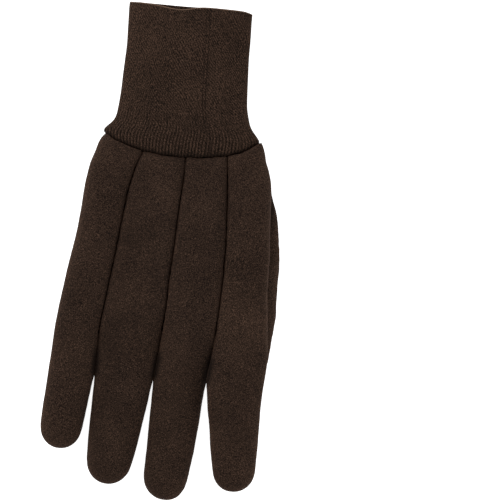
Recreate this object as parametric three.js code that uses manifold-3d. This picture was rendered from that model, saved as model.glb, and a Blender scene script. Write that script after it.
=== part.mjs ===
// A brown jersey work glove for the right hand, lying on its palm as it comes out of the packet.
// It is cut and sewn from five pieces: a palm that wraps round the little and index fingers, two
// back strips for the ring and middle fingers, a straight thumb folded under the palm, and a
// rib-knit wrist. +Z is up, +Y runs from the fingertips to the wrist, and the thumb is on the +X side.
import * as THREE from "three";
import { mergeVertices } from "three/addons/utils/BufferGeometryUtils.js";
import Module from "manifold-3d";

// Driving dimensions in millimetres. "Down" is measured from the wrist line towards the fingertips.
const HAND_WIDTH = 112; // across the four finger roots, laid flat
const HAND_LENGTH = 97; // wrist line to the crotches between the fingers
const HAND_LOFT = 14; // height of the empty hand where it lies on the table
const LITTLE_LENGTH = 70; // each finger from the crotch line to its tip
const RING_LENGTH = 86;
const MIDDLE_LENGTH = 91;
const INDEX_LENGTH = 82;
const FINGER_WIDTH = 29;
const FINGER_LOFT = 13;
const THUMB_LENGTH = 126; // wrist line to the thumb tip
const THUMB_CROTCH = 47; // wrist line to where the thumb leaves the palm
const THUMB_LOFT = 11;
const THUMB_TIP_ROUND = 18; // length of the rounded end of the thumb
const THUMB_SHOWS = 5.6; // how far the folded thumb peeps out past the index side
const CUFF_LENGTH = 76; // wrist line to the mouth
const CUFF_WIDTH = 65.3;
const CUFF_OFFSET = -7.8; // the relaxed wrist sits towards the little finger
const CUFF_LOFT = 12.5;
const CUFF_WALL = 2.2; // doubled rib knit
const MOUTH_DIP = 2.2; // the upper lip of the mouth lies this much lower than the under one
const FABRIC = 1.8; // fleece-backed jersey
const RIB_COUNT = 88;
const RIB_DEPTH = 0.5;
const WRIST_SAG = 9.6; // the wrist seam bows towards the fingers
const WRIST_TILT = 2.3;
const SEAM_GAP = 0.3; // between two sewn pieces
const FINGER_GAP = 0.7; // between two fingers that lie side by side
const SEAM_GROOVE = 1.3; // depth of the valley along a back seam
const THUMB_CLEARANCE = 0.5; // between the folded thumb and the palm above it
const THUMB_REST = 3; // the palm stays raised this far past the thumb tip
const DRAPE = 24; // width over which the palm falls from the thumb to the table
const DRAPE_LEDGE = 3; // the palm stays level this far past the thumb's inner edge
const BACK_DRAPE = 40; // the back of the hand falls more gently
const BACK_LIFT = 0.8; // share of the thumb's height that shows on the back
const SETTLE = 26; // length over which each finger comes to lie by itself
const DESCENT = 32; // length over which the index finger comes down from the thumb tip
const CROTCH_VALLEY = 8; // the fingers start to round off this far before their crotch and after it

// Makes a table's rows from the names of its columns and a list of numbers for each row.
function table(columns, ...rows) {
  return rows.map((row) => Object.fromEntries(columns.map((column, i) => [column, row[i]])));
}

// Seam and edge lines over the hand: down as a share of HAND_LENGTH, the rest as shares of HAND_WIDTH.
const HAND_LINES = table(
  ["down", "littleEdge", "littleRing", "ringMiddle", "middleIndex", "indexEdge"],
  [-0.16, -0.36, -0.18, -0.013, 0.17, 0.3],
  [-0.04, -0.404, -0.207, -0.012, 0.182, 0.351],
  [0.04, -0.4375, -0.22, -0.011, 0.189, 0.386],
  [0.124, -0.461, -0.246, -0.01, 0.199, 0.408],
  [0.258, -0.476, -0.267, -0.012, 0.2125, 0.4205],
  [0.515, -0.4875, -0.283, -0.0125, 0.232, 0.445],
  [0.773, -0.514, -0.301, -0.019, 0.237, 0.457],
  [1, -0.53, -0.32, -0.022, 0.232, 0.48],
);

// Each finger beyond the crotch line, as shares: down of its length, centre of HAND_WIDTH, and width of
// FINGER_WIDTH.
const FINGERS = [
  {
    name: "little", length: LITTLE_LENGTH, edges: ["littleEdge", "littleRing"], onThumb: 0,
    rows: [
      { down: 0.4, centre: -0.432, width: 0.81 },
      { down: 0.66, centre: -0.441, width: 0.785 },
      { down: 0.85, centre: -0.447, width: 0.735 },
    ],
  },
  {
    name: "ring", length: RING_LENGTH, edges: ["littleRing", "ringMiddle"], onThumb: 0,
    rows: [
      { down: 0.326, centre: -0.18, width: 1.07 },
      { down: 0.535, centre: -0.185, width: 0.995 },
      { down: 0.733, centre: -0.194, width: 0.905 },
      { down: 0.86, centre: -0.199, width: 0.82 },
    ],
  },
  {
    name: "middle", length: MIDDLE_LENGTH, edges: ["ringMiddle", "middleIndex"], onThumb: 0,
    rows: [
      { down: 0.308, centre: 0.0915, width: 0.95 },
      { down: 0.505, centre: 0.0885, width: 0.915 },
      { down: 0.692, centre: 0.088, width: 0.885 },
      { down: 0.85, centre: 0.082, width: 0.82 },
    ],
  },
  {
    name: "index", length: INDEX_LENGTH, edges: ["middleIndex", "indexEdge"], onThumb: 1,
    rows: [
      { down: 0.159, centre: 0.361, width: 1.02 },
      { down: 0.341, centre: 0.359, width: 1.0 },
      { down: 0.671, centre: 0.386, width: 0.87 },
      { down: 0.86, centre: 0.404, width: 0.76 },
    ],
  },
];

// The crotch that ends each seam between two fingers, as a share of HAND_LENGTH.
const CROTCHES = { littleRing: 1.06, ringMiddle: 1.0, middleIndex: 0.985 };

// The thumb: down as a share of THUMB_LENGTH, its inner edge of HAND_WIDTH, its bulge of THUMB_SHOWS.
const THUMB_LINES = [
  { down: -0.1, inner: 0.027, bulge: 0 },
  { down: 0, inner: 0.027, bulge: 0 },
  { down: 0.127, inner: 0.036, bulge: 0 },
  { down: 0.246, inner: 0.058, bulge: 0.75 },
  { down: 0.397, inner: 0.092, bulge: 0.93 },
  { down: 0.516, inner: 0.121, bulge: 1 },
  { down: 0.651, inner: 0.161, bulge: 0.92 },
  { down: 0.73, inner: 0.192, bulge: 0.6 },
  { down: 0.794, inner: 0.225, bulge: 0.3 },
  { down: 0.87, inner: 0.252, bulge: 0 },
  { down: 1, inner: 0.262, bulge: -0.2 },
];

// How full the empty hand is: down as a share of HAND_LENGTH, high as a share of HAND_LOFT.
const HAND_FILL = [
  { down: -0.16, high: 0.8 },
  { down: 0, high: 0.84 },
  { down: 0.1, high: 0.97 },
  { down: 0.3, high: 1.02 },
  { down: 0.7, high: 1 },
  { down: 1, high: 0.98 },
];

// The rib-knit wrist: up as a share of CUFF_LENGTH, and how far each side has flared from the
// relaxed wrist to the wider hand, as a share.
const CUFF_LINES = [
  { up: -0.16, little: 1.1, index: 1.12, high: 1.04 },
  { up: 0.09, little: 0.95, index: 0.92, high: 0.98 },
  { up: 0.14, little: 0.2, index: 0.76, high: 0.95 },
  { up: 0.2, little: 0.05, index: 0.41, high: 0.92 },
  { up: 0.34, little: -0.05, index: 0.2, high: 0.9 },
  { up: 0.7, little: -0.12, index: 0.03, high: 0.94 },
  { up: 1, little: 0.1, index: -0.04, high: 1.02 },
];

// Where the lofts and cuts get their sections, as shares: of HAND_LENGTH, of a finger's length, of its
// round tip, of THUMB_LENGTH, of the thumb's round tip, and of THUMB_CROTCH for the ball of the thumb.
const SECTIONS = {
  hand: [-0.16, -0.04, 0.05, 0.13, 0.26, 0.39, 0.74, 0.91],
  finger: [0.12, 0.3, 0.5, 0.7],
  fingertip: [0, 0.4, 0.7, 0.9, 0.99],
  thumb: [-0.1, 0, 0.08, 0.16, 0.25, 0.35, 0.45, 0.56, 0.66, 0.76],
  thumbTip: [0, 0.3, 0.55, 0.76, 0.9, 0.99],
  handBack: [-0.2, -0.04, 0.05, 0.13, 0.26, 0.4, 0.53, 0.68, 0.84, 0.95],
  fingerBack: [0, 0.08, 0.2, 0.35, 0.5, 0.65, 0.8, 0.92, 1.05],
  thumbBall: [-0.4, -0.1, 0.1, 0.3, 0.45, 0.6, 0.75],
  nearCrotch: [0.9, 0.96],
  freeThumb: [1.2, 1.4, 1.6, 1.8, 2, 2.2, 2.4],
};
const LEAST_STEP = 0.2; // two sections are at least this far apart

// Section shape: how square the sides are, where the widest level lies, and how much rests flat.
const ROUNDNESS = 2.4;
const WIDEST_LEVEL = 0.45;
const FLAT_UNDER = 1.14;
const THINNEST_SIDE = 0.06;
const LAST_OF_TIP = 0.99; // the last section stops just short of a round tip's end
const TOP_STEPS = 8;
const UNDER_STEPS = 6;
const FEWER_INSIDE = 2; // the hollow needs fewer points than the outside
const GROOVE_POWER = 8; // a back seam's valley is narrow
const OVERLAP = 0.4; // neighbouring strips run into each other by this much before they are joined
const PARTING = 1.5; // two fingers part over this distance before and after their crotch
const WEB = 1.4 * FABRIC; // the hollows part this far before the outside does
const HAND_SEAM = 0.5; // depth to which a back strip is cut on the hand, as a share of the thickness
const SIDE_SEAM = 0.3; // height of a finger's side seam, as a share of its thickness
const SIDE_SEAM_START = 0.9 * HAND_LENGTH; // where the back seams begin to run down the fingers' sides
const WRIST_LINE = -0.04; // share of HAND_LENGTH at which the cuff takes the width of the hand
const SEAM_LEVEL = 0.46; // share of WRIST_SAG that lies on the hand's side of the wrist line
const SEAM_STEPS = 26;
const CUFF_POINTS = 48;
const DIP_POWER = 6; // the upper lip of the mouth drops only near its edge
const CURTAIN_STEPS = 4;
const FAR = 60; // reach of a cutting shape beyond the glove

const wasm = await Module();
wasm.setup();

function smooth(t) {
  const c = THREE.MathUtils.clamp(t, 0, 1);
  return c * c * (3 - 2 * c);
}

// Reads one column of a table at any place along it, with a smooth curve through the rows.
function curveThrough(rows, key, column) {
  return (at) => {
    const last = rows.length - 1;
    if (at <= rows[0][key]) return rows[0][column];
    if (at >= rows[last][key]) return rows[last][column];
    const i = rows.findIndex((row) => row[key] > at) - 1;
    const [a, b] = [rows[i], rows[i + 1]];
    const before = rows[Math.max(i - 1, 0)];
    const after = rows[Math.min(i + 2, last)];
    const span = b[key] - a[key];
    const slopeA = ((b[column] - before[column]) / (b[key] - before[key])) * span;
    const slopeB = ((after[column] - a[column]) / (after[key] - a[key])) * span;
    const t = (at - a[key]) / span;
    const [t2, t3] = [t * t, t * t * t];
    const ends = (2 * t3 - 3 * t2 + 1) * a[column] + (3 * t2 - 2 * t3) * b[column];
    return ends + (t3 - 2 * t2 + t) * slopeA + (t3 - t2) * slopeB;
  };
}

// A closed solid through rings of points, all with the same number of points.
function loft(rings) {
  const count = rings[0].length;
  const positions = rings.flat().flatMap((p) => [p.x, p.y, p.z]);
  const index = [];
  for (let r = 0; r + 1 < rings.length; r += 1) {
    for (let k = 0; k < count; k += 1) {
      const [a, b] = [r * count + k, r * count + ((k + 1) % count)];
      index.push(a, a + count, b, b, a + count, b + count);
    }
  }
  for (const [r, turn] of [[0, false], [rings.length - 1, true]]) {
    const centre = new THREE.Vector3();
    rings[r].forEach((p) => centre.addScaledVector(p, 1 / count));
    positions.push(centre.x, centre.y, centre.z);
    const hub = positions.length / 3 - 1;
    for (let k = 0; k < count; k += 1) {
      const [a, b] = [r * count + k, r * count + ((k + 1) % count)];
      index.push(...(turn ? [b, a, hub] : [a, b, hub]));
    }
  }
  const geometry = new THREE.BufferGeometry();
  geometry.setAttribute("position", new THREE.Float32BufferAttribute(positions, 3));
  geometry.setIndex(index);
  return solidOf(geometry);
}

function solidOf(geometry) {
  const bare = geometry.clone();
  bare.deleteAttribute("normal");
  bare.deleteAttribute("uv");
  const merged = mergeVertices(bare, 1e-4);
  return new wasm.Manifold(
    new wasm.Mesh({
      numProp: 3,
      vertProperties: new Float32Array(merged.attributes.position.array),
      triVerts: new Uint32Array(merged.index.array),
    }),
  );
}

function geometryOf(solid) {
  const mesh = solid.getMesh();
  const geometry = new THREE.BufferGeometry();
  geometry.setAttribute("position", new THREE.BufferAttribute(new Float32Array(mesh.vertProperties), 3));
  geometry.setIndex(new THREE.BufferAttribute(new Uint32Array(mesh.triVerts), 1));
  geometry.computeVertexNormals();
  return geometry;
}

const joinAll = (solids) => solids.reduce((whole, next) => whole.add(next));

// A sewn piece without the loose slivers that a cut along a thin edge can leave.
function wholePiece(solid) {
  const bodies = solid.decompose();
  return bodies.reduce((most, next) => (next.volume() > most.volume() ? next : most));
}

const along = (shares, length) => shares.map((share) => share * length);

// The five lines that run down the hand, each as a function of the distance down.
const handLine = Object.fromEntries(
  ["littleEdge", "littleRing", "ringMiddle", "middleIndex", "indexEdge"].map((name) => {
    const share = curveThrough(HAND_LINES, "down", name);
    return [name, (down) => HAND_WIDTH * share(down / HAND_LENGTH)];
  }),
);

// A finger strip runs from the wrist to its fingertip, with its left and right edges at any distance down.
function fingerStrip(finger) {
  const [leftLine, rightLine] = finger.edges;
  const handRows = HAND_LINES.map((row) => ({
    down: row.down * HAND_LENGTH,
    left: row[leftLine] * HAND_WIDTH,
    right: row[rightLine] * HAND_WIDTH,
  }));
  const fingerRows = finger.rows.map((row) => ({
    down: HAND_LENGTH + row.down * finger.length,
    left: row.centre * HAND_WIDTH - (row.width * FINGER_WIDTH) / 2,
    right: row.centre * HAND_WIDTH + (row.width * FINGER_WIDTH) / 2,
  }));
  const rows = [...handRows, ...fingerRows];
  return {
    ...finger,
    tip: HAND_LENGTH + finger.length,
    left: curveThrough(rows, "down", "left"),
    right: curveThrough(rows, "down", "right"),
    leftCrotch: (CROTCHES[leftLine] ?? -Infinity) * HAND_LENGTH,
    rightCrotch: (CROTCHES[rightLine] ?? -Infinity) * HAND_LENGTH,
  };
}

const strips = FINGERS.map(fingerStrip);
const [, ringStrip, middleStrip, indexStrip] = strips;

const thumbInnerShare = curveThrough(THUMB_LINES, "down", "inner");
const thumbBulge = curveThrough(THUMB_LINES, "down", "bulge");
const thumbInnerEdge = (down) => HAND_WIDTH * thumbInnerShare(down / THUMB_LENGTH);
const thumbOuterEdge = (down) => indexStrip.right(down) + THUMB_SHOWS * thumbBulge(down / THUMB_LENGTH);

// Height of the palm above the table where the folded thumb lies under it, whole once the thumb is free.
const CROTCH_WALLS = 3 * FABRIC; // the seams and walls that meet in the crotch of the thumb
const THUMB_FREE = THUMB_CROTCH + CROTCH_WALLS;
function thumbLift(down) {
  const rise = smooth(down / THUMB_FREE);
  const fall = 1 - smooth((down - THUMB_LENGTH - THUMB_REST) / DESCENT);
  return (THUMB_LOFT + THUMB_CLEARANCE) * rise * fall;
}

function drape(x, down, width) {
  const foot = thumbInnerEdge(down) - DRAPE_LEDGE;
  return thumbLift(down) * smooth((x - foot + width) / width);
}

const handFill = curveThrough(HAND_FILL, "down", "high");

// Lowest and highest level of a strip at a point, before its edges are rounded.
function levels(strip, x, down) {
  const apart = smooth((down - HAND_LENGTH) / SETTLE);
  const byItself = strip.onThumb * thumbLift(down);
  const under = THREE.MathUtils.lerp(drape(x, down, DRAPE), byItself, apart);
  const over = BACK_LIFT * THREE.MathUtils.lerp(drape(x, down, BACK_DRAPE), byItself, apart);
  const thick = THREE.MathUtils.lerp(HAND_LOFT * handFill(down / HAND_LENGTH), FINGER_LOFT, apart);
  return { under, over: over + thick };
}

// The points round a cross-section: over the top from left to right, and then back underneath.
function roundSection(point, inset) {
  const across = (steps) => Array.from({ length: steps + 1 }, (_, k) => -Math.cos((Math.PI * k) / steps));
  const fewer = inset ? FEWER_INSIDE : 0;
  return [
    ...across(TOP_STEPS - fewer).map((u) => point(u, true)),
    ...across(UNDER_STEPS - fewer).reverse().map((u) => point(u, false)),
  ];
}

// One cross-section of a finger strip. An inset of the fabric's thickness gives the hollow inside.
function stripSection(strip, down, inset) {
  const reach = strip.tip - inset;
  const endWidth = (strip.right(strip.tip) - strip.left(strip.tip)) / 2 - inset;
  const intoTip = THREE.MathUtils.clamp((down - reach + endWidth) / endWidth, 0, LAST_OF_TIP);
  const tipRound = Math.sqrt(1 - intoTip * intoTip);
  const past = (crotch) => down - crotch + (inset ? WEB : 0);
  const parted = (crotch) => THREE.MathUtils.clamp((past(crotch) / PARTING + 1) / 2, 0, 1);
  const rounded = (crotch) => smooth((past(crotch) / CROTCH_VALLEY + 1) / 2);
  const [leftOpen, rightOpen] = [parted(strip.leftCrotch), parted(strip.rightCrotch)];
  const sideShift = (open, crotch) =>
    crotch === -Infinity ? inset : THREE.MathUtils.lerp(-OVERLAP, inset + FINGER_GAP / 2, open);
  const left = strip.left(down) + sideShift(leftOpen, strip.leftCrotch);
  const right = strip.right(down) - sideShift(rightOpen, strip.rightCrotch);
  const [middle, half] = [(left + right) / 2, ((right - left) / 2) * tipRound];
  const edge = (u) => {
    const open = u < 0 ? leftOpen : rightOpen;
    const crotch = u < 0 ? strip.leftCrotch : strip.rightCrotch;
    const round = (1 - Math.abs(u) ** ROUNDNESS) ** (1 / ROUNDNESS);
    const groove = crotch === -Infinity ? 0 : (1 - open) * SEAM_GROOVE * Math.abs(u) ** GROOVE_POWER;
    return { round: THREE.MathUtils.lerp(1, round, rounded(crotch)), groove };
  };
  const point = (u, upper) => {
    const x = middle + half * u;
    const { under, over } = levels(strip, x, down);
    const { round, groove } = edge(u);
    const level = THREE.MathUtils.lerp(under, over, WIDEST_LEVEL);
    const height = (over - groove - inset - level) * Math.max(round, THINNEST_SIDE);
    const depth = (level - under - inset) * Math.min(1, Math.max(FLAT_UNDER * round, THINNEST_SIDE));
    return new THREE.Vector3(x, -down, level + (upper ? height : -depth) * tipRound);
  };
  return roundSection(point, inset);
}

// Places down a strip where it gets a section: the hand, the crotches, the finger and its round tip.
function stripStations(strip, inset) {
  const hand = along(SECTIONS.hand, HAND_LENGTH);
  const web = inset ? WEB : 0;
  const crotches = [...new Set([strip.leftCrotch, strip.rightCrotch].filter(Number.isFinite))];
  const parting = crotches.flatMap((crotch) => [crotch - web - PARTING, crotch - web + PARTING]);
  const straight = along(SECTIONS.finger, strip.length).map((down) => HAND_LENGTH + down);
  const tip = strip.tip - inset;
  const endWidth = (strip.right(strip.tip) - strip.left(strip.tip)) / 2 - inset;
  const rounding = SECTIONS.fingertip.map((share) => tip - (1 - share) * endWidth);
  return [...hand, THUMB_CROTCH, THUMB_FREE, ...parting, ...straight, ...rounding]
    .sort((a, b) => a - b)
    .filter((down, i, all) => i === 0 || down - all[i - 1] > LEAST_STEP);
}

function stripBody(strip, inset) {
  return loft(stripStations(strip, inset).map((down) => stripSection(strip, down, inset)));
}

const handBody = (inset) => joinAll(strips.map((strip) => stripBody(strip, inset)));

// The thumb is a flattened tube that begins at the wrist, as part of the hand, and ends in a round tip.
function thumbSection(down, inset) {
  const reach = THUMB_LENGTH - inset;
  const intoTip = THREE.MathUtils.clamp((down - reach) / THUMB_TIP_ROUND + 1, 0, LAST_OF_TIP);
  const tipRound = Math.sqrt(1 - intoTip * intoTip);
  const [left, right] = [thumbInnerEdge(down) + inset, thumbOuterEdge(down) - inset];
  const [middle, half] = [(left + right) / 2, ((right - left) / 2) * tipRound];
  const level = THUMB_LOFT * WIDEST_LEVEL;
  const point = (u, upper) => {
    const round = (1 - Math.abs(u) ** ROUNDNESS) ** (1 / ROUNDNESS);
    const height = (THUMB_LOFT - inset - level) * Math.max(round, THINNEST_SIDE);
    const depth = (level - inset) * Math.min(1, Math.max(FLAT_UNDER * round, THINNEST_SIDE));
    return new THREE.Vector3(middle + half * u, -down, level + (upper ? height : -depth) * tipRound);
  };
  return roundSection(point, inset);
}

function thumbBody(inset) {
  const straight = along(SECTIONS.thumb, THUMB_LENGTH);
  const tip = THUMB_LENGTH - inset;
  const rounding = SECTIONS.thumbTip.map((share) => tip - (1 - share) * THUMB_TIP_ROUND);
  return loft([...straight, ...rounding].map((down) => thumbSection(down, inset)));
}

// A cutting shape from the table up, or from a level down, between two lines that run down the glove.
function curtain(stations, leftAt, rightAt, lowAt, highAt) {
  const steps = Array.from({ length: CURTAIN_STEPS + 1 }, (_, k) => k / CURTAIN_STEPS);
  return loft(
    stations.map((down) => {
      const across = steps.map((t) => THREE.MathUtils.lerp(leftAt(down), rightAt(down), t));
      return [
        ...across.map((x) => new THREE.Vector3(x, -down, highAt(x, down))),
        ...across.reverse().map((x) => new THREE.Vector3(x, -down, lowAt(x, down))),
      ];
    }),
  );
}

// All that a back strip is cut from: the top of the hand between two seams, and then the finger down
// to its side seams. Past the crotches it reaches half way across the gap to each neighbour.
function backRegion(strip, grow) {
  const leftNeighbour = strips[strips.indexOf(strip) - 1];
  const rightNeighbour = strips[strips.indexOf(strip) + 1];
  const leftGap = (down) => Math.max(0, strip.left(down) - leftNeighbour.right(down));
  const rightGap = (down) => Math.max(0, rightNeighbour.left(down) - strip.right(down));
  const leftAt = (down) => strip.left(down) - leftGap(down) / 2 - grow;
  const rightAt = (down) => strip.right(down) + rightGap(down) / 2 + grow;
  const lowAt = (x, down) => {
    const { under, over } = levels(strip, x, down);
    const share = THREE.MathUtils.lerp(HAND_SEAM, SIDE_SEAM, smooth((down - SIDE_SEAM_START) / SETTLE));
    return THREE.MathUtils.lerp(under, over, share) - grow;
  };
  const hand = along(SECTIONS.handBack, HAND_LENGTH);
  const finger = along(SECTIONS.fingerBack, strip.length).map((down) => HAND_LENGTH + down);
  return curtain([...hand, ...finger], leftAt, rightAt, lowAt, () => FAR);
}

// All that the thumb is cut from: the ball of the thumb below its side seam, then the free thumb.
function thumbRegion(grow) {
  const leftAt = (down) => thumbInnerEdge(down) - grow;
  const rightAt = () => HAND_WIDTH;
  const wristSeam = WIDEST_LEVEL * HAND_LOFT * handFill(0);
  const palmSeam = (down) => thumbLift(down) + FABRIC + THUMB_CLEARANCE;
  const seamHeight = (x, down) => Math.max(wristSeam, palmSeam(down)) + grow;
  const [lastOfBall, firstFree] = along(SECTIONS.nearCrotch, THUMB_CROTCH);
  const ball = [...along(SECTIONS.thumbBall, THUMB_CROTCH), lastOfBall, THUMB_CROTCH + grow];
  const free = [firstFree, ...along(SECTIONS.freeThumb, THUMB_CROTCH), THUMB_LENGTH + THUMB_CLEARANCE];
  const besideThumb = (down) => thumbInnerEdge(down) - THUMB_CLEARANCE / 2;
  const underPalm = () => THUMB_LOFT + THUMB_CLEARANCE / 5;
  const below = () => -FAR;
  return curtain(ball, leftAt, rightAt, below, seamHeight).add(
    curtain(free, besideThumb, rightAt, below, underPalm),
  );
}

// Nothing divides the ball of the thumb from the hand between the wrist and the crotch.
const PASSAGE_SIDE = 2 * FABRIC; // from the outside of the glove to the opening between the two
const PASSAGE_RISE = 1.5 * FABRIC; // from the top of the thumb into the hollow of the hand
function thumbPassage() {
  const floor = THUMB_LOFT * WIDEST_LEVEL;
  return curtain(
    [...along(SECTIONS.thumbBall, THUMB_CROTCH), THUMB_CROTCH - CROTCH_WALLS],
    (down) => thumbInnerEdge(down) + PASSAGE_SIDE,
    (down) => indexStrip.right(down) - PASSAGE_SIDE,
    () => floor,
    (x, down) => Math.max(floor, thumbLift(down)) + PASSAGE_RISE,
  );
}

// Everything on the hand side of the wrist seam, whose line is one shallow curve across the glove.
function handSide(gap) {
  const [left, right] = [-HAND_WIDTH, HAND_WIDTH];
  const centre = (handLine.littleEdge(0) + handLine.indexEdge(0)) / 2;
  const halfWrist = (handLine.indexEdge(0) - handLine.littleEdge(0)) / 2;
  const seamY = (x) => {
    const t = (x - centre) / halfWrist;
    return WRIST_SAG * (t * t - SEAM_LEVEL) + WRIST_TILT * t - gap;
  };
  const slope = (2 * WRIST_SAG * (left - centre)) / halfWrist ** 2 + WRIST_TILT / halfWrist;
  const middle = (left + right) / 2;
  const outline = new THREE.Shape();
  outline.moveTo(left, -3 * HAND_LENGTH);
  outline.lineTo(right, -3 * HAND_LENGTH);
  outline.lineTo(right, seamY(right));
  outline.quadraticCurveTo(middle, seamY(left) + slope * (middle - left), left, seamY(left));
  const settings = { depth: 2 * FAR, bevelEnabled: false, curveSegments: SEAM_STEPS };
  const slab = new THREE.ExtrudeGeometry(outline, settings);
  return solidOf(slab.translate(0, 0, -FAR));
}

// The wrist is one tube of doubled rib knit, flared where it is sewn to the wider hand.
function cuffBody(inset) {
  const read = (column) => curveThrough(CUFF_LINES, "up", column);
  const [little, index, high] = [read("little"), read("index"), read("high")];
  const handLeft = handLine.littleEdge(WRIST_LINE * HAND_LENGTH);
  const handRight = handLine.indexEdge(WRIST_LINE * HAND_LENGTH);
  const shares = CUFF_LINES.map((row) => row.up);
  const ring = (share) => {
    const past = inset && (share === shares[0] || share === 1) ? Math.sign(share) * CUFF_WALL : 0;
    const left = THREE.MathUtils.lerp(CUFF_OFFSET - CUFF_WIDTH / 2, handLeft, little(share)) + inset;
    const right = THREE.MathUtils.lerp(CUFF_OFFSET + CUFF_WIDTH / 2, handRight, index(share)) - inset;
    const top = CUFF_LOFT * high(share);
    const level = top * WIDEST_LEVEL;
    const outline = Array.from({ length: CUFF_POINTS }, (_, k) => {
      const angle = Math.PI - (2 * Math.PI * k) / CUFF_POINTS;
      const [c, s] = [Math.cos(angle), Math.sin(angle)];
      const x = (left + right) / 2 + ((right - left) / 2) * Math.sign(c) * Math.abs(c) ** (2 / ROUNDNESS);
      const rise = Math.abs(s) ** (2 / ROUNDNESS);
      const upper = (top - level - inset) * rise;
      const lower = -(level - inset) * Math.min(1, FLAT_UNDER * rise);
      const dip = share > 0 ? MOUTH_DIP * Math.max(0, s) * share ** DIP_POWER : 0;
      return new THREE.Vector3(x, CUFF_LENGTH * share - dip + past, level + (s > 0 ? upper : lower));
    });
    const curve = new THREE.CatmullRomCurve3(outline, true, "centripetal");
    const count = inset ? RIB_COUNT / 2 : 2 * RIB_COUNT;
    const spaced = curve.getSpacedPoints(count).slice(0, count);
    return spaced.map((p, k) => {
      if (inset) return p;
      const [before, after] = [spaced[(k + count - 1) % count], spaced[(k + 1) % count]];
      const out = new THREE.Vector3(before.z - after.z, 0, after.x - before.x).normalize();
      const place = p.clone().addScaledVector(out, k % 2 ? -RIB_DEPTH : 0);
      return place.setZ(Math.max(place.z, 0));
    });
  };
  return loft(shares.map(ring).reverse());
}

const clear = SEAM_GAP / 2;
const glove = handBody(0)
  .add(thumbBody(0))
  .subtract(handBody(FABRIC).add(thumbBody(FABRIC)).add(thumbPassage()))
  .intersect(handSide(clear));
const ringBack = glove.intersect(backRegion(ringStrip, -clear));
const middleBack = glove.intersect(backRegion(middleStrip, -clear));
const thumb = glove.intersect(thumbRegion(-clear));
const palm = glove
  .subtract(backRegion(ringStrip, clear))
  .subtract(backRegion(middleStrip, clear))
  .subtract(thumbRegion(clear));
const wrist = cuffBody(0).subtract(cuffBody(CUFF_WALL)).subtract(handSide(-clear));

const jersey = new THREE.MeshStandardMaterial({ color: 0x32261f, roughness: 0.95, metalness: 0 });
const ribKnit = new THREE.MeshStandardMaterial({ color: 0x30251e, roughness: 0.93, metalness: 0 });

const workGlove = new THREE.Group();
for (const [name, solid, material] of [
  ["palm_wrap", palm, jersey],
  ["ring_back_strip", ringBack, jersey],
  ["middle_back_strip", middleBack, jersey],
  ["thumb", thumb, jersey],
  ["knit_wrist", wrist, ribKnit],
]) {
  const mesh = new THREE.Mesh(geometryOf(wholePiece(solid)), material);
  mesh.name = name;
  workGlove.add(mesh);
}

// The part's origin is under the middle of the glove, on the table.
const middle = new THREE.Box3().setFromObject(workGlove).getCenter(new THREE.Vector3());
workGlove.children.forEach((piece) => piece.position.set(-middle.x, -middle.y, 0));

export default workGlove;
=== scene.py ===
import math

import bmesh
import bpy
import numpy as np
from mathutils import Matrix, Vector, noise
from mathutils.bvhtree import BVHTree


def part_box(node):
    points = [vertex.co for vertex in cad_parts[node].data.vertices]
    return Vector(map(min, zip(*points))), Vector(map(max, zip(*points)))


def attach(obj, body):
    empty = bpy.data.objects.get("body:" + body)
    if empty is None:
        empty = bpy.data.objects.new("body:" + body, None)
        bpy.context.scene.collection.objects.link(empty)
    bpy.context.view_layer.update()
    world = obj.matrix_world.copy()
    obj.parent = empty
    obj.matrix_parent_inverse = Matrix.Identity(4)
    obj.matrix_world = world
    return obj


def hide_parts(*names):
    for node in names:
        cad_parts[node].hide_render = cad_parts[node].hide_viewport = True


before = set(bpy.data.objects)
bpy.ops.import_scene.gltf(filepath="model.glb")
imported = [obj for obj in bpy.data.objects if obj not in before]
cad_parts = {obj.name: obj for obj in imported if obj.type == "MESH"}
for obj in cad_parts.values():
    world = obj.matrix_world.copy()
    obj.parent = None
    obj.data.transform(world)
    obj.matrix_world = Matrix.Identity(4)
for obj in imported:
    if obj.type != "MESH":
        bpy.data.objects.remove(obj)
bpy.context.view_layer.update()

# The palm wrap is one piece of fleece-backed cotton jersey, which makes the whole front of the glove
# and wraps round the little and index fingers on to the back. Like all the jersey it is sewn inside
# out and turned, so its edges roll in along every seam and pucker there.
MM = 0.001
JERSEY_GRAIN = 0.6 * MM  # spacing of the points that the jersey is drawn with
PALM_MOST_TRIANGLES = 190000
SEAM_REACH = 6 * MM  # how far from a seam the cloth still feels it
SEAM_GAP = 0.3 * MM  # between two pieces, as modelled
SEAM_SLIT = 0.1 * MM  # what stays between them at the bottom of the seam
ROLL_WIDTH = 3.4 * MM
ROLL_DEPTH = 0.95 * MM
PUCKER_HEIGHT = 0.24 * MM
PUCKER_LENGTH = 2.6 * MM
PUCKER_REACH = 4.5 * MM
SEAM_EASES = 24 * MM  # the painted shade of a seam is deeper at some places than at others, over this length
PUFF_HEIGHT = 0.6 * MM  # the hand puffs up behind the wrist seam
PUFF_FROM_SEAM = 5 * MM
PUFF_REACH = 12 * MM
WAVE_HEIGHT = 0.5 * MM  # the wrist seam isn't quite even
WAVE_LENGTH = 5 * MM
WAVE_REACH = 9 * MM
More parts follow.
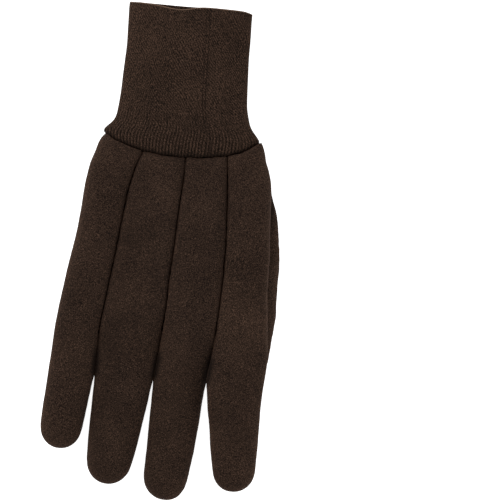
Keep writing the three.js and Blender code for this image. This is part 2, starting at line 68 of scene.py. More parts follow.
# The wrist seam turns up at its two ends: by how much, from where and over what length.
SEAM_ENDS = (
    {"rise": 3.2 * MM, "from": 29 * MM, "over": 10 * MM},
    {"rise": 1.3 * MM, "from": -36 * MM, "over": -8 * MM},
)
SOFT_HEIGHT = 0.45 * MM  # the slack of cloth that has nothing inside
SOFT_LENGTH = 21 * MM
FLOOR_REACH = 6 * MM  # the slack dies out towards the surface that the glove lies on
SLACK_SEED = 10  # the slack falls the same way each run
EDGE_ROUNDS = 3  # of relaxing, which take the steps of the grid out of the cloth's edges
FACET_ROUNDS = 34  # and its flat facets out of the faces, away from the seams
FACETS_FROM = 0.9 * MM
FACETS_EASE = 2.2 * MM
OFF_CLOTH = 0.6 * MM  # where the rays start that tell the outer face from the inner one
CLOSES_WITHIN = 1.6 * MM  # of the next piece, an edge is drawn up to it
SEAM_SHADE = 0.9 * MM  # how far the shade of a seam spreads over the cloth
WRIST_SHADE = 1.3 * MM
WRIST_SHADE_DEPTH = 0.95
HAND_FULLNESS = 0.5 * MM  # the sides of the hand and the fingers round out by this much
FINGER_FULLNESS = 1.0 * MM
FINGERS_START = -20 * MM
FINGERS_SETTLE = 30 * MM
# Where neighbouring fingers lie against each other: a place on the line between them, and its slant.
TOUCHES = (
    {"x": -34.1 * MM, "y": -62.5 * MM, "slant": -0.013},
    {"x": -1.6 * MM, "y": -61.3 * MM, "slant": 0.078},
    {"x": 26.7 * MM, "y": -60.3 * MM, "slant": 0.105},
)
TOUCH_FULLNESS = 0.7 * MM  # the sides that touch swell against each other
TOUCH_LENGTH = 9 * MM
TOUCH_WIDTH = 5 * MM
TOUCH_PRESS = 0.22 * MM  # and press into each other by this much, no more
TOUCH_ABOVE = 20 * MM  # of that place, towards the wrist, the fingers still touch
TOUCH_BELOW = 6 * MM
INDEX_LEAN = 0.6 * MM  # the index finger leans towards the middle one
INDEX_LEANS_FROM = -50 * MM
CROTCH_WIDTH = 4 * MM
noise.seed_set(SLACK_SEED)


def smooth_step(x):
    """Runs from 0 to 1 as x does, level at both ends."""
    x = np.clip(x, 0, 1)
    return x * x * (3 - 2 * x)


def merged_copy(node):
    """A copy of a CAD node's mesh whose triangles share their corners."""
    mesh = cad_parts[node].data.copy()
    bm = bmesh.new()
    bm.from_mesh(mesh)
    bmesh.ops.remove_doubles(bm, verts=bm.verts, dist=0.001 * MM)
    bm.to_mesh(mesh)
    bm.free()
    return mesh


def tree_of(nodes):
    """One search tree over several CAD nodes, for distances and rays."""
    places, faces = [], []
    for node in nodes:
        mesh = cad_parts[node].data
        first = len(places)
        places += [v.co.copy() for v in mesh.vertices]
        faces += [[first + corner for corner in face.vertices] for face in mesh.polygons]
    return BVHTree.FromPolygons(places, faces)


def applied(piece, kind, **settings):
    """Gives a piece one modifier and makes its result the piece's own mesh."""
    modifier = piece.modifiers.new(kind.title(), kind)
    for name, value in settings.items():
        setattr(modifier, name, value)
    drawn = piece.evaluated_get(bpy.context.evaluated_depsgraph_get())
    mesh = bpy.data.meshes.new_from_object(drawn)
    piece.modifiers.clear()
    piece.data = mesh


def read(collection, field, width, kind=float):
    """One field of all vertices or edges as an array."""
    values = np.empty(len(collection) * width, kind)
    collection.foreach_get(field, values)
    return values.reshape(-1, width)


def relax(values, edges, share, rounds):
    """Draws the value at each point towards its neighbours' average, by the point's own share."""
    ends = np.concatenate((edges, edges[:, ::-1]))
    here, there = ends[:, 0], ends[:, 1]
    count = np.maximum(np.bincount(here, minlength=len(values)), 1)
    for _ in range(rounds):
        sums = [np.bincount(here, values[there, axis], len(values)) for axis in range(3)]
        values += share[:, None] * (np.stack(sums, 1) / count[:, None] - values)


def to_neighbours(tree, places, reach=SEAM_REACH):
    """How far each point is from the pieces that this one is sewn to, and the way there."""
    gap = np.full(len(places), reach)
    way = np.zeros((len(places), 3))
    for i, place in enumerate(places):
        point, _, _, distance = tree.find_nearest(Vector(place), reach)
        if point is not None and distance > 0:
            gap[i] = distance
            way[i] = (np.array(point) - place) / distance
    return gap, way


def seam_wave(x):
    """How far the wrist seam strays from its even curve at each place across the glove."""
    wave = WAVE_HEIGHT * np.array([noise.noise((value / WAVE_LENGTH, 0, 0)) for value in x])
    for end in SEAM_ENDS:
        wave += end["rise"] * np.clip((x - end["from"]) / end["over"], 0, 1) ** 1.5
    return wave


def beside(touch, places):
    """How far points lie from the line between two fingers, to its index finger's side."""
    return places[:, 0] - touch["x"] - touch["slant"] * (places[:, 1] - touch["y"])


def touching(places):
    """How much of each point's place is taken up by two fingers lying against each other."""
    share = np.zeros(len(places))
    for touch in TOUCHES:
        along = (places[:, 1] - touch["y"]) / TOUCH_LENGTH
        share += np.exp(-(along**4) - (beside(touch, places) / TOUCH_WIDTH) ** 4)
    return share


def settled(places, cut):
    """The places of points once the fingers lie against each other, with no side past its neighbour's."""
    x, y, z = places.T.copy()
    on_index = smooth_step(0.5 + beside(TOUCHES[-1], places) / CROTCH_WIDTH)
    x -= INDEX_LEAN * on_index * smooth_step((INDEX_LEANS_FROM - y) / FINGERS_SETTLE)
    for touch in TOUCHES:
        off = beside(touch, np.stack((x, y), 1))
        side = np.where(beside(touch, cut) > 0, 1, -1)
        crossed = np.maximum(-TOUCH_PRESS - side * off, 0) * (np.abs(off) < TOUCH_WIDTH)
        x += side * crossed * (y < touch["y"] + TOUCH_ABOVE) * (y > touch["y"] - TOUCH_BELOW)
    return np.stack((x, y, z), 1)


def sewn_jersey(name, node, most_triangles, shade_reach=SEAM_SHADE, shade=0):
    """A jersey piece: its CAD shell drawn as fine cloth, with soft faces and rolled, puckered seams."""
    piece = bpy.data.objects.new(name, merged_copy(node))
    bpy.context.scene.collection.objects.link(piece)
    applied(piece, "REMESH", mode="VOXEL", voxel_size=JERSEY_GRAIN)
    others = tree_of([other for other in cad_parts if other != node])
    every = tree_of(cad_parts)

    mesh = piece.data
    places = read(mesh.vertices, "co", 3)
    edges = read(mesh.edges, "vertices", 2, int)
    gap, _ = to_neighbours(others, places)
    relax(places, edges, np.full(len(places), 0.5), EDGE_ROUNDS)
    relax(places, edges, 0.5 * smooth_step((gap - FACETS_FROM) / FACETS_EASE), FACET_ROUNDS)
    mesh.vertices.foreach_set("co", places.ravel())
    triangles = 2 * len(mesh.polygons)
    if triangles > most_triangles:
        applied(piece, "DECIMATE", ratio=most_triangles / triangles)

    mesh = piece.data
    places = read(mesh.vertices, "co", 3)
    edges = read(mesh.edges, "vertices", 2, int)
    normals = read(mesh.vertex_normals, "vector", 3)
    gap, way = to_neighbours(others, places)
    facing = np.abs((normals * way).sum(1))
    near = gap < SEAM_REACH
    to_wrist = to_neighbours(tree_of(["knit_wrist"]), places, PUFF_REACH)[0]
    outside = np.ones((len(places), 3))
    for i, (place, normal) in enumerate(zip(places, normals)):
        off_cloth = Vector(place + OFF_CLOTH * normal)
        roofed = every.ray_cast(off_cloth, Vector((0, 0, 1)))[0] is not None
        if roofed and every.ray_cast(off_cloth, Vector((0, 0, -1)))[0] is not None:
            outside[i] = -1
    outward = outside * normals * (1 - facing)[:, None]
    relax(outward, edges, np.full(len(places), 0.8), 5)
    outward /= np.maximum(np.linalg.norm(outward, axis=1), 1e-6)[:, None]
    relax(outside, edges, np.full(len(places), 0.8), 5)

    runs_along_y = np.abs(way[:, 0]) > np.abs(way[:, 1])
    run = np.where(runs_along_y, places[:, 1], places[:, 0])
    across = np.where(runs_along_y, places[:, 0], places[:, 1])
    lumps = np.zeros(len(places))
    for i in np.flatnonzero(near):
        spot = (run[i] / PUCKER_LENGTH, across[i] / (4 * PUCKER_LENGTH), places[i, 2] / (4 * PUCKER_LENGTH))
        lumps[i] = noise.noise(spot)
    roll = np.clip(1 - gap / ROLL_WIDTH, 0, 1) ** 1.6
    pucker = smooth_step(1 - gap / PUCKER_REACH)
    lift = PUCKER_HEIGHT * pucker * lumps - ROLL_DEPTH * roll * (1 + 0.35 * lumps)
    lift += PUFF_HEIGHT * np.exp(-(((to_wrist - PUFF_FROM_SEAM) / PUFF_FROM_SEAM * 1.5) ** 2))
    closing = smooth_step((facing - 0.6) / 0.35) * (gap < CLOSES_WITHIN)
    shut = closing * np.maximum(gap - (SEAM_GAP + SEAM_SLIT) / 2, 0)
    slack = np.array([noise.noise_vector(Vector(place) / SOFT_LENGTH) for place in places])
    slack[:, 2] *= smooth_step(places[:, 2] / FLOOR_REACH)

    fingers = smooth_step((FINGERS_START - places[:, 1]) / FINGERS_SETTLE)
    fullness = HAND_FULLNESS + (FINGER_FULLNESS - HAND_FULLNESS) * fingers
    touch = touching(places) * (1 - normals[:, 2] ** 2)
    fullness += TOUCH_FULLNESS * touch
    fullness *= np.maximum(outside[:, 0], 0)

    cut = places.copy()
    places[:, 1] += seam_wave(places[:, 0]) * smooth_step(1 - to_wrist / WAVE_REACH)
    places += outward * lift[:, None] + way * shut[:, None] + SOFT_HEIGHT * slack
    places[:, :2] += fullness[:, None] * normals[:, :2]
    places = settled(places, cut)
    places[:, 2] = np.maximum(places[:, 2], 0)
    mesh.vertices.foreach_set("co", places.ravel())
    # Painted shade: the cloth is painted darker in its seams, along the wrist seam and where fingers lie
    # against each other. A strip's darker tone goes into the same attribute.
    painted_shade_and_tone = mesh.attributes.new("painted_shade_and_tone", "FLOAT", "POINT")
    seam_shade_strength = np.array([0.85 + 0.6 * noise.noise(Vector(place) / SEAM_EASES) for place in places])
    painted_shade_and_tone_share = np.exp(-((gap / shade_reach) ** 2)) * (1 + 0.5 * lumps) * seam_shade_strength
    at_wrist = WRIST_SHADE_DEPTH * np.exp(-((to_wrist / WRIST_SHADE) ** 2))
    painted_shade_and_tone_share = np.maximum(np.maximum(painted_shade_and_tone_share, at_wrist), np.clip(3.2 * touch - 0.6, 0, 1.6)) + shade
    painted_shade_and_tone.data.foreach_set("value", painted_shade_and_tone_share.astype(np.float32))
    mesh.shade_smooth()
    mesh.update()
    return piece


def colour(code, alpha=1):
    """An sRGB hex colour as the linear values that a shader takes."""
    parts = [int(code[i : i + 2], 16) / 255 for i in (1, 3, 5)]
    return [p / 12.92 if p <= 0.04045 else ((p + 0.055) / 1.055) ** 2.4 for p in parts] + [alpha]


def add(material, kind, inputs, **settings):
    """Adds a shader node with its settings, its inputs given as values or other nodes' outputs."""
    node = material.node_tree.nodes.new("ShaderNode" + kind)
    for name, value in settings.items():
        setattr(node, name, value)
    for socket, value in inputs.items():
        if isinstance(value, bpy.types.NodeSocket):
            material.node_tree.links.new(value, node.inputs[socket])
        else:
            node.inputs[socket].default_value = value
    return node


# Brown cotton jersey with a brushed, fleecy face: dull, with a heathered mix of darker and lighter
# yarns in short streaks along the grain. The grain runs along the hand, but the palm wrap lies on the
# bias where it comes round the little finger. The root of the index finger, which the thumb under it
# pushes up, gets a painted highlight: it is painted lighter.
YARN = 0.3 * MM  # fibres and yarns are finer still, and are drawn as coarse as they need to show
STREAK_WIDTH = 0.3 * MM
STREAK_LENGTH = 0.62 * MM
MOTTLE = 18 * MM  # the dye and the nap are a little uneven over this length
BIAS = math.radians(40)
BIAS_FROM = -18 * MM
BIAS_REACH = 24 * MM
# Where the painted highlight lies on the root of the index finger, how far it reaches and how much lighter
# it paints the cloth.
PAINTED_HIGHLIGHT_PLACE = (44 * MM, -33 * MM, 20 * MM)
PAINTED_HIGHLIGHT_REACH = 28 * MM
PAINTED_HIGHLIGHT_STRENGTH = 0.13
COTTON = {  # dull, with a faint sheen from the fibres that stand up
    "Roughness": 0.95, "Specular IOR Level": 0.08,
    "Sheen Weight": 0.3, "Sheen Roughness": 0.45, "Sheen Tint": colour("#7a5640"),
}
jersey = bpy.data.materials.new("brushed_cotton_jersey")
jersey.use_nodes = True
jersey.node_tree.nodes.clear()
place = add(jersey, "TexCoord", {}).outputs["Object"]
across = add(jersey, "SeparateXYZ", {"Vector": place})
on_bias = add(
    jersey, "MapRange",
    {"Value": across.outputs["X"], "From Min": BIAS_FROM, "From Max": BIAS_FROM - BIAS_REACH},
)
grains = []
for turn in (0, BIAS):
    along_grain = add(
        jersey, "Mapping",
        {"Vector": place, "Rotation": (0, 0, turn), "Scale": (STREAK_WIDTH, STREAK_LENGTH, STREAK_WIDTH)},
        vector_type="TEXTURE",
    )
    grains.append(add(jersey, "TexNoise", {"Vector": along_grain.outputs[0], "Scale": 1.0, "Detail": 2.0}))
streaks = add(
    jersey, "Mix",
    {0: on_bias.outputs["Result"], 2: grains[0].outputs["Fac"], 3: grains[1].outputs["Fac"]},
)
fibres = add(jersey, "TexNoise", {"Vector": place, "Scale": 1 / YARN, "Detail": 2.0, "Roughness": 0.7})
mottle = add(jersey, "TexNoise", {"Vector": place, "Scale": 1 / MOTTLE, "Detail": 1.0, "Roughness": 0.5})
nap = add(
    jersey, "Math", {0: streaks.outputs[0], 1: 0.8, 2: fibres.outputs["Fac"]}, operation="MULTIPLY_ADD"
)
mixed = add(jersey, "Math", {0: mottle.outputs["Fac"], 1: 0.1, 2: nap.outputs[0]}, operation="MULTIPLY_ADD")
shade = add(jersey, "MapRange", {"Value": mixed.outputs[0], "From Min": 0.842, "From Max": 1.132})
# The painted highlight on the root of the index finger.
from_painted_highlight = add(jersey, "VectorMath", {0: place, 1: PAINTED_HIGHLIGHT_PLACE}, operation="DISTANCE")
painted_highlight = add(
    jersey, "MapRange",
    {"Value": from_painted_highlight.outputs["Value"], "From Min": PAINTED_HIGHLIGHT_REACH, "From Max": 0.0},
    interpolation_type="SMOOTHSTEP",
)
with_painted_highlight = add(
    jersey, "Math", {0: painted_highlight.outputs["Result"], 1: PAINTED_HIGHLIGHT_STRENGTH, 2: shade.outputs["Result"]},
    operation="MULTIPLY_ADD",
)
flecks_and_painted_light = add(jersey, "Math", {0: with_painted_highlight.outputs[0], 1: 1.9}, operation="POWER")
yarn_and_painted_light = add(
    jersey, "Mix",
    {0: flecks_and_painted_light.outputs[0], 6: colour("#100a07"), 7: colour("#533f33")},
    data_type="RGBA",
)
# Painted shade in the seams, along the wrist seam and between touching fingers, with the strips' darker
# tone.
painted_shade_and_tone = add(jersey, "Attribute", {}, attribute_name="painted_shade_and_tone")
painted_shade_and_tone_share = add(jersey, "Math", {0: painted_shade_and_tone.outputs["Fac"], 1: 0.6}, operation="MULTIPLY")
with_painted_light = add(
    jersey, "Mix",
    {0: painted_shade_and_tone_share.outputs[0], 6: yarn_and_painted_light.outputs[2], 7: colour("#0b0705")},
    data_type="RGBA",
)
relief = add(jersey, "Bump", {"Strength": 0.6, "Distance": 0.3 * MM, "Height": nap.outputs[0]})
cloth = add(
    jersey, "BsdfPrincipled",
    {"Base Color": with_painted_light.outputs[2], "Normal": relief.outputs["Normal"], **COTTON},
)
add(jersey, "OutputMaterial", {"Surface": cloth.outputs["BSDF"]})

palm = sewn_jersey("palm_wrap_jersey", "palm_wrap", PALM_MOST_TRIANGLES)
palm.data.materials.clear()
palm.data.materials.append(jersey)
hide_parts("palm_wrap")
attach(palm, "root")

# The back strips of the ring and middle fingers are narrow pieces of the same jersey. Each runs from
# the wrist seam, where it puffs up a little, down the back of its finger to the tip, and is sewn
# along both edges.
STRIP_MOST_TRIANGLES = 90000
STRIP_SHADE = 0.15  # they look a little darker than the palm wrap
for name, node in (("ring_strip_jersey", "ring_back_strip"), ("middle_strip_jersey", "middle_back_strip")):
    strip = sewn_jersey(name, node, STRIP_MOST_TRIANGLES, shade=STRIP_SHADE)
    strip.data.materials.clear()
    strip.data.materials.append(jersey)
    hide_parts(node)
    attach(strip, "root")

# The thumb, with its ball, is a straight tube of the same jersey, set into the palm along a seam that
# runs from the wrist to its crotch. It lies folded under the palm.
THUMB_MOST_TRIANGLES = 100000
# The painted shade of its seam spreads further over it, where it lies under the edge of the palm.
THUMB_SEAM_SHADE = 2.4 * MM
thumb = sewn_jersey("thumb_jersey", "thumb", THUMB_MOST_TRIANGLES, THUMB_SEAM_SHADE)
thumb.data.materials.clear()
thumb.data.materials.append(jersey)
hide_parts("thumb")
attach(thumb, "root")

# The wrist is a tube of cotton rib knit, folded double at the mouth and sewn to the hand all round.
# Its ribs close up on the relaxed wrist and spread where it flares to the width of the hand.
RIBS = 100  # as fine as the render can show
POINTS_PER_RIB = 8
OUTER_ROWS = 70
LIP_ROWS = 6
INNER_ROWS = 18
KNIT_WALL = 2.2 * MM
RIB_AT_SEAM = 0.38 * MM
RIB_AT_MOUTH = 0.1 * MM
RIBS_FADE = 0.38  # share of the wrist's length over which the ribs close up
CUFF_FULLNESS = 0.9 * MM
FLARE_REACH = 1.6 * MM  # the edge curls out on the little finger's side, just above the seam
FLARE_PLACE = 61.5 * MM
FLARE_LENGTH = 4 * MM
MOUTH_RISE = 0.4 * MM
MOUTH_TILT = 1.1 * MM
LIP_DIP = 0.45 * MM  # the upper lip lies lower than the under one
LIP_SAG = 2.2 * MM  # and sags further at one place, so that the mouth stands open there
SAG_PLACE = -0.17
SAG_WIDTHS = (0.4, 0.24)  # to the little finger's side and to the thumb's
CORNER_DROPS = (0.3 * MM, 1.3 * MM)  # of the mouth, on the little finger's side and the thumb's
CORNER_POWER = 16
ROUNDNESS = 2.4
WIDEST_LEVEL = 0.45
FLAT_UNDER = 1.14
ALLOWANCE = 5 * MM  # what is sewn in and lies inside the hand
ALLOWANCE_INSET = 2.6 * MM
SIDE_SHARE = 0.45  # of that inset, at the two sides of the wrist
TUCK = 1.0 * MM
TUCK_REACH = 3 * MM
# Two deeper furrows, as shares of the way from the middle to the thumb's side. They drift to the middle.
SLIPPED_RIBS = (0.313, 0.361)
SLIP_DRIFT = 0.045
SLIP_WIDTH = 0.009
SLIP_DEPTH = 0.18 * MM
STATIONS = 44  # where the solid is measured, between places this far from its seam and its mouth
SEAM_MARGIN = 2 * MM
MOUTH_MARGIN = 3 * MM

knit_tree = tree_of(["knit_wrist"])
low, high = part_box("knit_wrist")
corners = read(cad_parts["knit_wrist"].data.vertices, "co", 3)
rim = corners[corners[:, 1] < low.y + 20 * MM]
for _ in range(30):
    seam_curve = np.polyfit(rim[:, 0], rim[:, 1], 2)
    rim = rim[rim[:, 1] <= np.polyval(seam_curve, rim[:, 0]) + 0.02 * MM]


def knit_outline(y):
    """Left and right edge and top of the wrist at one distance along it, measured on its CAD solid."""
    level = WIDEST_LEVEL * high.z
    left = knit_tree.ray_cast(Vector((low.x - 1, y, level)), Vector((1, 0, 0)))[0]
    right = knit_tree.ray_cast(Vector((high.x + 1, y, level)), Vector((-1, 0, 0)))[0]
    top = knit_tree.ray_cast(Vector(((low.x + high.x) / 2, y, 1)), Vector((0, 0, -1)))[0]
    return left.x if left else 0, right.x if right else 0, top.z


stations = np.linspace(low.y + SEAM_MARGIN, high.y - MOUTH_MARGIN, STATIONS)
measured = np.array([knit_outline(y) for y in stations])
for column, edge in enumerate((low.x, high.x)):
    first = np.argmax(stations > np.polyval(seam_curve, edge) + MM)
    measured[:first, column] = measured[first, column]
kernel = np.array([1, 2, 3, 2, 1]) / 9
for column in range(3):
    padded = np.pad(measured[:, column], 2, mode="reflect", reflect_type="odd")
    measured[:, column] = np.convolve(padded, kernel, "valid")


def knit_places(turn, along, inset, relief):
    """Points of the wrist: turn runs round it, along from seam to mouth, inset goes into the wall."""
    c, s = np.cos(turn), np.sin(turn)
    bow_c = np.sign(c) * np.abs(c) ** (2 / ROUNDNESS)
    bow_s = np.abs(s) ** (2 / ROUNDNESS)
    sag_width = np.where(bow_c < SAG_PLACE, *SAG_WIDTHS)
    dip = LIP_DIP + LIP_SAG * np.exp(-(((bow_c - SAG_PLACE) / sag_width) ** 2))
    mouth = high.y + MOUTH_RISE + MOUTH_TILT * bow_c
    drop = np.where(bow_c < 0, *CORNER_DROPS)
    mouth -= dip * smooth_step(s / 0.35) + drop * np.abs(bow_c) ** CORNER_POWER
    x = (low.x + high.x) / 2 + (high.x - low.x) / 2 * bow_c
    side_inset = inset * np.where(along > 0, 1, SIDE_SHARE)
    for _ in range(4):
        seam_y = np.polyval(seam_curve, x) + SEAM_SLIT + seam_wave(x)
        y = (1 - along) * seam_y + along * mouth
        left, right, top = (np.interp(y, stations, measured[:, i]) for i in range(3))
        x = (left + right) / 2 + ((right - left) / 2 + CUFF_FULLNESS - side_inset + relief) * bow_c
        flare = np.exp(-(((y - FLARE_PLACE) / FLARE_LENGTH) ** 2))
        x -= FLARE_REACH * flare * np.maximum(-bow_c, 0) ** 3
    level = top * WIDEST_LEVEL
    upper = (top - level - inset + relief) * bow_s
    lower = -(level - inset) * np.minimum(1, FLAT_UNDER * bow_s)
    return x, y, level + np.where(s > 0, upper, lower)


sample = np.linspace(0, 2 * np.pi, 4001)
outline = np.stack(knit_places(sample, np.full(sample.shape, 0.6), 0 * sample, 0 * sample), 1)
steps = np.linalg.norm(np.diff(outline, axis=0), axis=1)
travelled = np.concatenate(([0], np.cumsum(steps)))
travelled /= travelled[-1]

cuff_length = high.y - low.y
sewn_in = -ALLOWANCE / cuff_length
lip_turn = np.linspace(0, np.pi, LIP_ROWS + 2)[1:-1]
stretches = (
    (np.linspace(0, 1, OUTER_ROWS), np.zeros(OUTER_ROWS)),
    (1 + 0.35 * KNIT_WALL / cuff_length * np.sin(lip_turn), KNIT_WALL * (1 - np.cos(lip_turn)) / 2),
    (np.linspace(1, 0, INNER_ROWS), np.full(INNER_ROWS, KNIT_WALL)),
    ([sewn_in, sewn_in, 0, 0], [ALLOWANCE_INSET + KNIT_WALL, ALLOWANCE_INSET, ALLOWANCE_INSET * 0.8, 0]),
)
row_along, row_inset = (np.concatenate(columns) for columns in zip(*stretches))
rows, around = len(row_along), RIBS * POINTS_PER_RIB

bm = bmesh.new()
bm.loops.layers.uv.new("knit")
bmesh.ops.create_grid(bm, x_segments=around, y_segments=rows - 1, size=1, calc_uvs=True)
knit_mesh = bpy.data.meshes.new("knit_wrist_rib")
bm.to_mesh(knit_mesh)
bm.free()
grid = (read(knit_mesh.vertices, "co", 3)[:, :2] + 1) / 2
share_round = grid[:, 0]
row = np.rint(grid[:, 1] * (rows - 1)).astype(int)
turn = np.interp(share_round % 1, travelled, sample)
along, inset = row_along[row], row_inset[row]
phase = (share_round * RIBS) % 1
crest = np.abs(np.sin(np.pi * phase)) ** 0.7
ribbing = smooth_step(1 - along / RIBS_FADE)
depth = RIB_AT_MOUTH + (RIB_AT_SEAM - RIB_AT_MOUTH) * ribbing
side = np.sign(np.cos(turn)) * np.abs(np.cos(turn)) ** (2 / ROUNDNESS)
on_top = (np.sin(turn) > 0) * (inset == 0)
slips = np.zeros(len(side))
for furrow in SLIPPED_RIBS:
    slips += on_top * np.exp(-(((side - furrow + SLIP_DRIFT * along) / SLIP_WIDTH) ** 2))
slips *= np.array([0.75 + 0.9 * noise.noise((9 * a, 0, 0)) for a in along])
tuck = TUCK * np.clip(1 - np.abs(along) * cuff_length / TUCK_REACH, 0, 1) ** 2 * (inset == 0)
tuck *= 1 - 0.7 * side**6
relief = depth * (crest - 1) * (inset < KNIT_WALL / 2) - SLIP_DEPTH * slips - tuck
x, y, z = knit_places(turn, along, inset, relief)
slack = np.array([noise.noise_vector(Vector(p) / SOFT_LENGTH) for p in zip(x, y, z)])
slack[:, 2] *= smooth_step(z / FLOOR_REACH)
knit = np.stack((x, y, z), 1) + 0.5 * SOFT_HEIGHT * slack
knit[:, 2] = np.maximum(knit[:, 2], 0)
knit_mesh.vertices.foreach_set("co", knit.ravel())
# Besides the ribbing, these mask painted shade in the two deep furrows and along the wrist seam, and a
# painted highlight on the lip.
for name, values in (
    ("ribbing", ribbing),
    ("furrow", np.maximum(0.85 * slips, np.exp(-((along * cuff_length / (1.5 * MM)) ** 2)))),
    ("lip", (along > 1) * (inset < 0.6 * KNIT_WALL)),
):
    layer = knit_mesh.attributes.new(name, "FLOAT", "POINT")
    layer.data.foreach_set("value", values.astype(np.float32))
bm = bmesh.new()
bm.from_mesh(knit_mesh)
bmesh.ops.remove_doubles(bm, verts=bm.verts, dist=0.0005 * MM)
bmesh.ops.recalc_face_normals(bm, faces=bm.faces)
bm.to_mesh(knit_mesh)
bm.free()
knit_mesh.shade_smooth()
wrist = bpy.data.objects.new("knit_wrist_rib", knit_mesh)
bpy.context.scene.collection.objects.link(wrist)

# Brown cotton rib knit: one leg of each small V stitch catches more light, so the stitches line up in
# fine slanting rows. The furrows between the ribs are in shade where the ribs are spread.
COURSES = 38  # rows of stitches; the real ones are finer and are drawn as coarse as they need to show
SPECKLE = 0.52 * MM
WALL_SHARE = OUTER_ROWS / rows  # of the pattern's height, the part on the outer wall
rib_knit = bpy.data.materials.new("cotton_rib_knit")
rib_knit.use_nodes = True
rib_knit.node_tree.nodes.clear()
place = add(rib_knit, "TexCoord", {}).outputs["Object"]
chart = add(rib_knit, "UVMap", {}, uv_map="knit")
parts = add(rib_knit, "SeparateXYZ", {"Vector": chart.outputs["UV"]})
mottle = add(
    rib_knit, "TexNoise", {"Vector": place, "Scale": 1 / MOTTLE, "Detail": 1.0, "Roughness": 0.5}
)
rib = add(rib_knit, "Math", {0: parts.outputs["X"], 1: float(RIBS)}, operation="MULTIPLY")
flank = add(rib_knit, "Math", {0: rib.outputs[0], 1: 0.5}, operation="PINGPONG")
leg = add(
    rib_knit, "Math", {0: parts.outputs["Y"], 1: -COURSES / WALL_SHARE, 2: rib.outputs[0]},
    operation="MULTIPLY_ADD",
)
bent = add(
    rib_knit, "Math", {0: mottle.outputs["Fac"], 1: 5.0, 2: leg.outputs[0]}, operation="MULTIPLY_ADD"
)
turns = add(rib_knit, "Math", {0: bent.outputs[0], 1: 2 * math.pi}, operation="MULTIPLY")
stitch = add(rib_knit, "Math", {0: turns.outputs[0]}, operation="SINE")
speckle = add(
    rib_knit, "TexNoise", {"Vector": place, "Scale": 1 / SPECKLE, "Detail": 3.0, "Roughness": 0.7}
)
ribbing = add(rib_knit, "Attribute", {}, attribute_name="ribbing")
slant = add(rib_knit, "MapRange", {"Value": ribbing.outputs["Fac"], "To Min": 0.042, "To Max": 0.015})
stitched = add(
    rib_knit, "Math", {0: stitch.outputs[0], 1: slant.outputs["Result"], 2: speckle.outputs["Fac"]},
    operation="MULTIPLY_ADD",
)
crest = add(rib_knit, "Math", {0: flank.outputs[0], 1: 0.32}, operation="SUBTRACT")
openness = add(rib_knit, "Math", {0: ribbing.outputs["Fac"], 1: 0.15}, operation="ADD")
spread = add(rib_knit, "Math", {0: crest.outputs[0], 1: openness.outputs[0]}, operation="MULTIPLY")
furrowed = add(
    rib_knit, "Math", {0: spread.outputs[0], 1: 0.24, 2: stitched.outputs[0]}, operation="MULTIPLY_ADD"
)
mixed = add(
    rib_knit, "Math", {0: mottle.outputs["Fac"], 1: 0.08, 2: furrowed.outputs[0]}, operation="MULTIPLY_ADD"
)
shade = add(rib_knit, "MapRange", {"Value": mixed.outputs[0], "From Min": 0.442, "From Max": 0.658})
flecks_and_painted_light = add(rib_knit, "Math", {0: shade.outputs["Result"], 1: 1.6}, operation="POWER")
yarn_and_painted_light = add(
    rib_knit, "Mix",
    {0: flecks_and_painted_light.outputs[0], 6: colour("#0c0805"), 7: colour("#4c392e")},
    data_type="RGBA",
)
# Painted shade in the two deep furrows and along the wrist seam.
furrow = add(rib_knit, "Attribute", {}, attribute_name="furrow")
painted_furrow_shade = add(rib_knit, "Math", {0: furrow.outputs["Fac"], 1: 0.75}, operation="MULTIPLY")
shaded = add(
    rib_knit, "Mix",
    {0: painted_furrow_shade.outputs[0], 6: yarn_and_painted_light.outputs[2], 7: colour("#0b0705")},
    data_type="RGBA",
)
# A painted highlight along the lip of the mouth.
lip = add(rib_knit, "Attribute", {}, attribute_name="lip")
painted_lip_highlight = add(rib_knit, "Math", {0: lip.outputs["Fac"], 1: 0.5}, operation="MULTIPLY")
with_painted_light = add(
    rib_knit, "Mix",
    {0: painted_lip_highlight.outputs[0], 6: shaded.outputs[2], 7: colour("#6e5848")},
    data_type="RGBA",
)
relief = add(rib_knit, "Bump", {"Strength": 0.6, "Distance": 0.35 * MM, "Height": stitched.outputs[0]})
cloth = add(
    rib_knit, "BsdfPrincipled",
    {"Base Color": with_painted_light.outputs[2], "Normal": relief.outputs["Normal"], **COTTON},
)
add(rib_knit, "OutputMaterial", {"Surface": cloth.outputs["BSDF"]})
wrist.data.materials.append(rib_knit)
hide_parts("knit_wrist")
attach(wrist, "root")

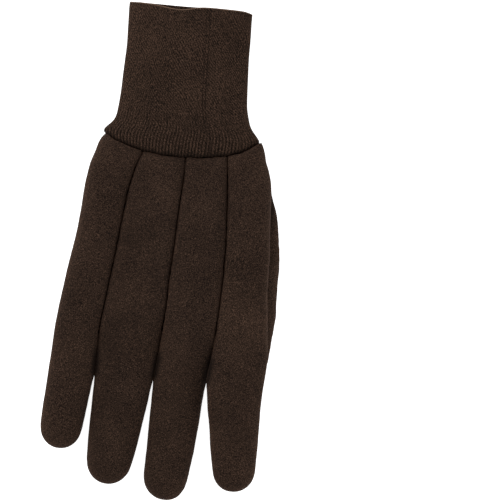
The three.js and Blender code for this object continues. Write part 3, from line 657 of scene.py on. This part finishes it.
# The glove lies on a plain white surface, a hair above it, so that the two don't share a level.
FLOOR_HALF = 3000 * MM
FLOOR_DROP = 0.1 * MM
bm = bmesh.new()
bmesh.ops.create_grid(bm, x_segments=1, y_segments=1, size=FLOOR_HALF)
bmesh.ops.translate(bm, verts=bm.verts, vec=(0, 0, -FLOOR_DROP))
floor_mesh = bpy.data.meshes.new("floor")
bm.to_mesh(floor_mesh)
bm.free()
floor = bpy.data.objects.new("floor", floor_mesh)
bpy.context.scene.collection.objects.link(floor)
board = bpy.data.materials.new("matt_white_board")
board.use_nodes = True
for socket, value in (
    ("Base Color", colour("#f4f4f3")), ("Roughness", 0.9), ("Specular IOR Level", 0.1),
    ("Emission Color", colour("#ffffff")), ("Emission Strength", 0.85),
):
    board.node_tree.nodes["Principled BSDF"].inputs[socket].default_value = value
floor.data.materials.append(board)

# Light from all round, as in a light tent, with a large soft lamp low on each side.
TENT_STRENGTH = 0.74
LAMP_SIDE = 900 * MM
world = bpy.data.worlds.new("tent")
world.use_nodes = True
world.node_tree.nodes["Background"].inputs["Color"].default_value = colour("#ffffff")
world.node_tree.nodes["Background"].inputs["Strength"].default_value = TENT_STRENGTH
bpy.context.scene.world = world
for name, spot, watts in (
    ("softbox_index_side", Vector((1.1, -0.4, 0.6)), 4),
    ("softbox_little_side", Vector((-1.0, 0.75, 0.6)), 13),
):
    lamp_data = bpy.data.lights.new(name, "AREA")
    lamp_data.shape = "SQUARE"
    lamp_data.size = LAMP_SIDE
    lamp_data.energy = watts
    lamp = bpy.data.objects.new(name, lamp_data)
    lamp.location = spot
    lamp.rotation_mode = "QUATERNION"
    lamp.rotation_quaternion = (-spot).to_track_quat("-Z", "Y")
    bpy.context.scene.collection.objects.link(lamp)
bpy.context.scene.view_settings.view_transform = "Standard"

# The camera looks straight down, turned so that the glove leans in the frame as it does in the photo.
PHOTO_WIDTH = 268 * MM  # what the frame spans at the height of the glove
PHOTO_MIDDLE = (40.85 * MM, 6.7 * MM)
GLOVE_LEVEL = 12 * MM
LEAN = math.radians(7)
camera_data = bpy.data.cameras.new("camera")
camera_data.lens = 200
camera_data.sensor_width = 36
camera = bpy.data.objects.new("camera", camera_data)
distance = PHOTO_WIDTH * camera_data.lens / camera_data.sensor_width
camera.location = (*PHOTO_MIDDLE, distance + GLOVE_LEVEL)
camera.rotation_euler = (0, 0, LEAN)
bpy.context.scene.collection.objects.link(camera)
bpy.context.scene.camera = camera
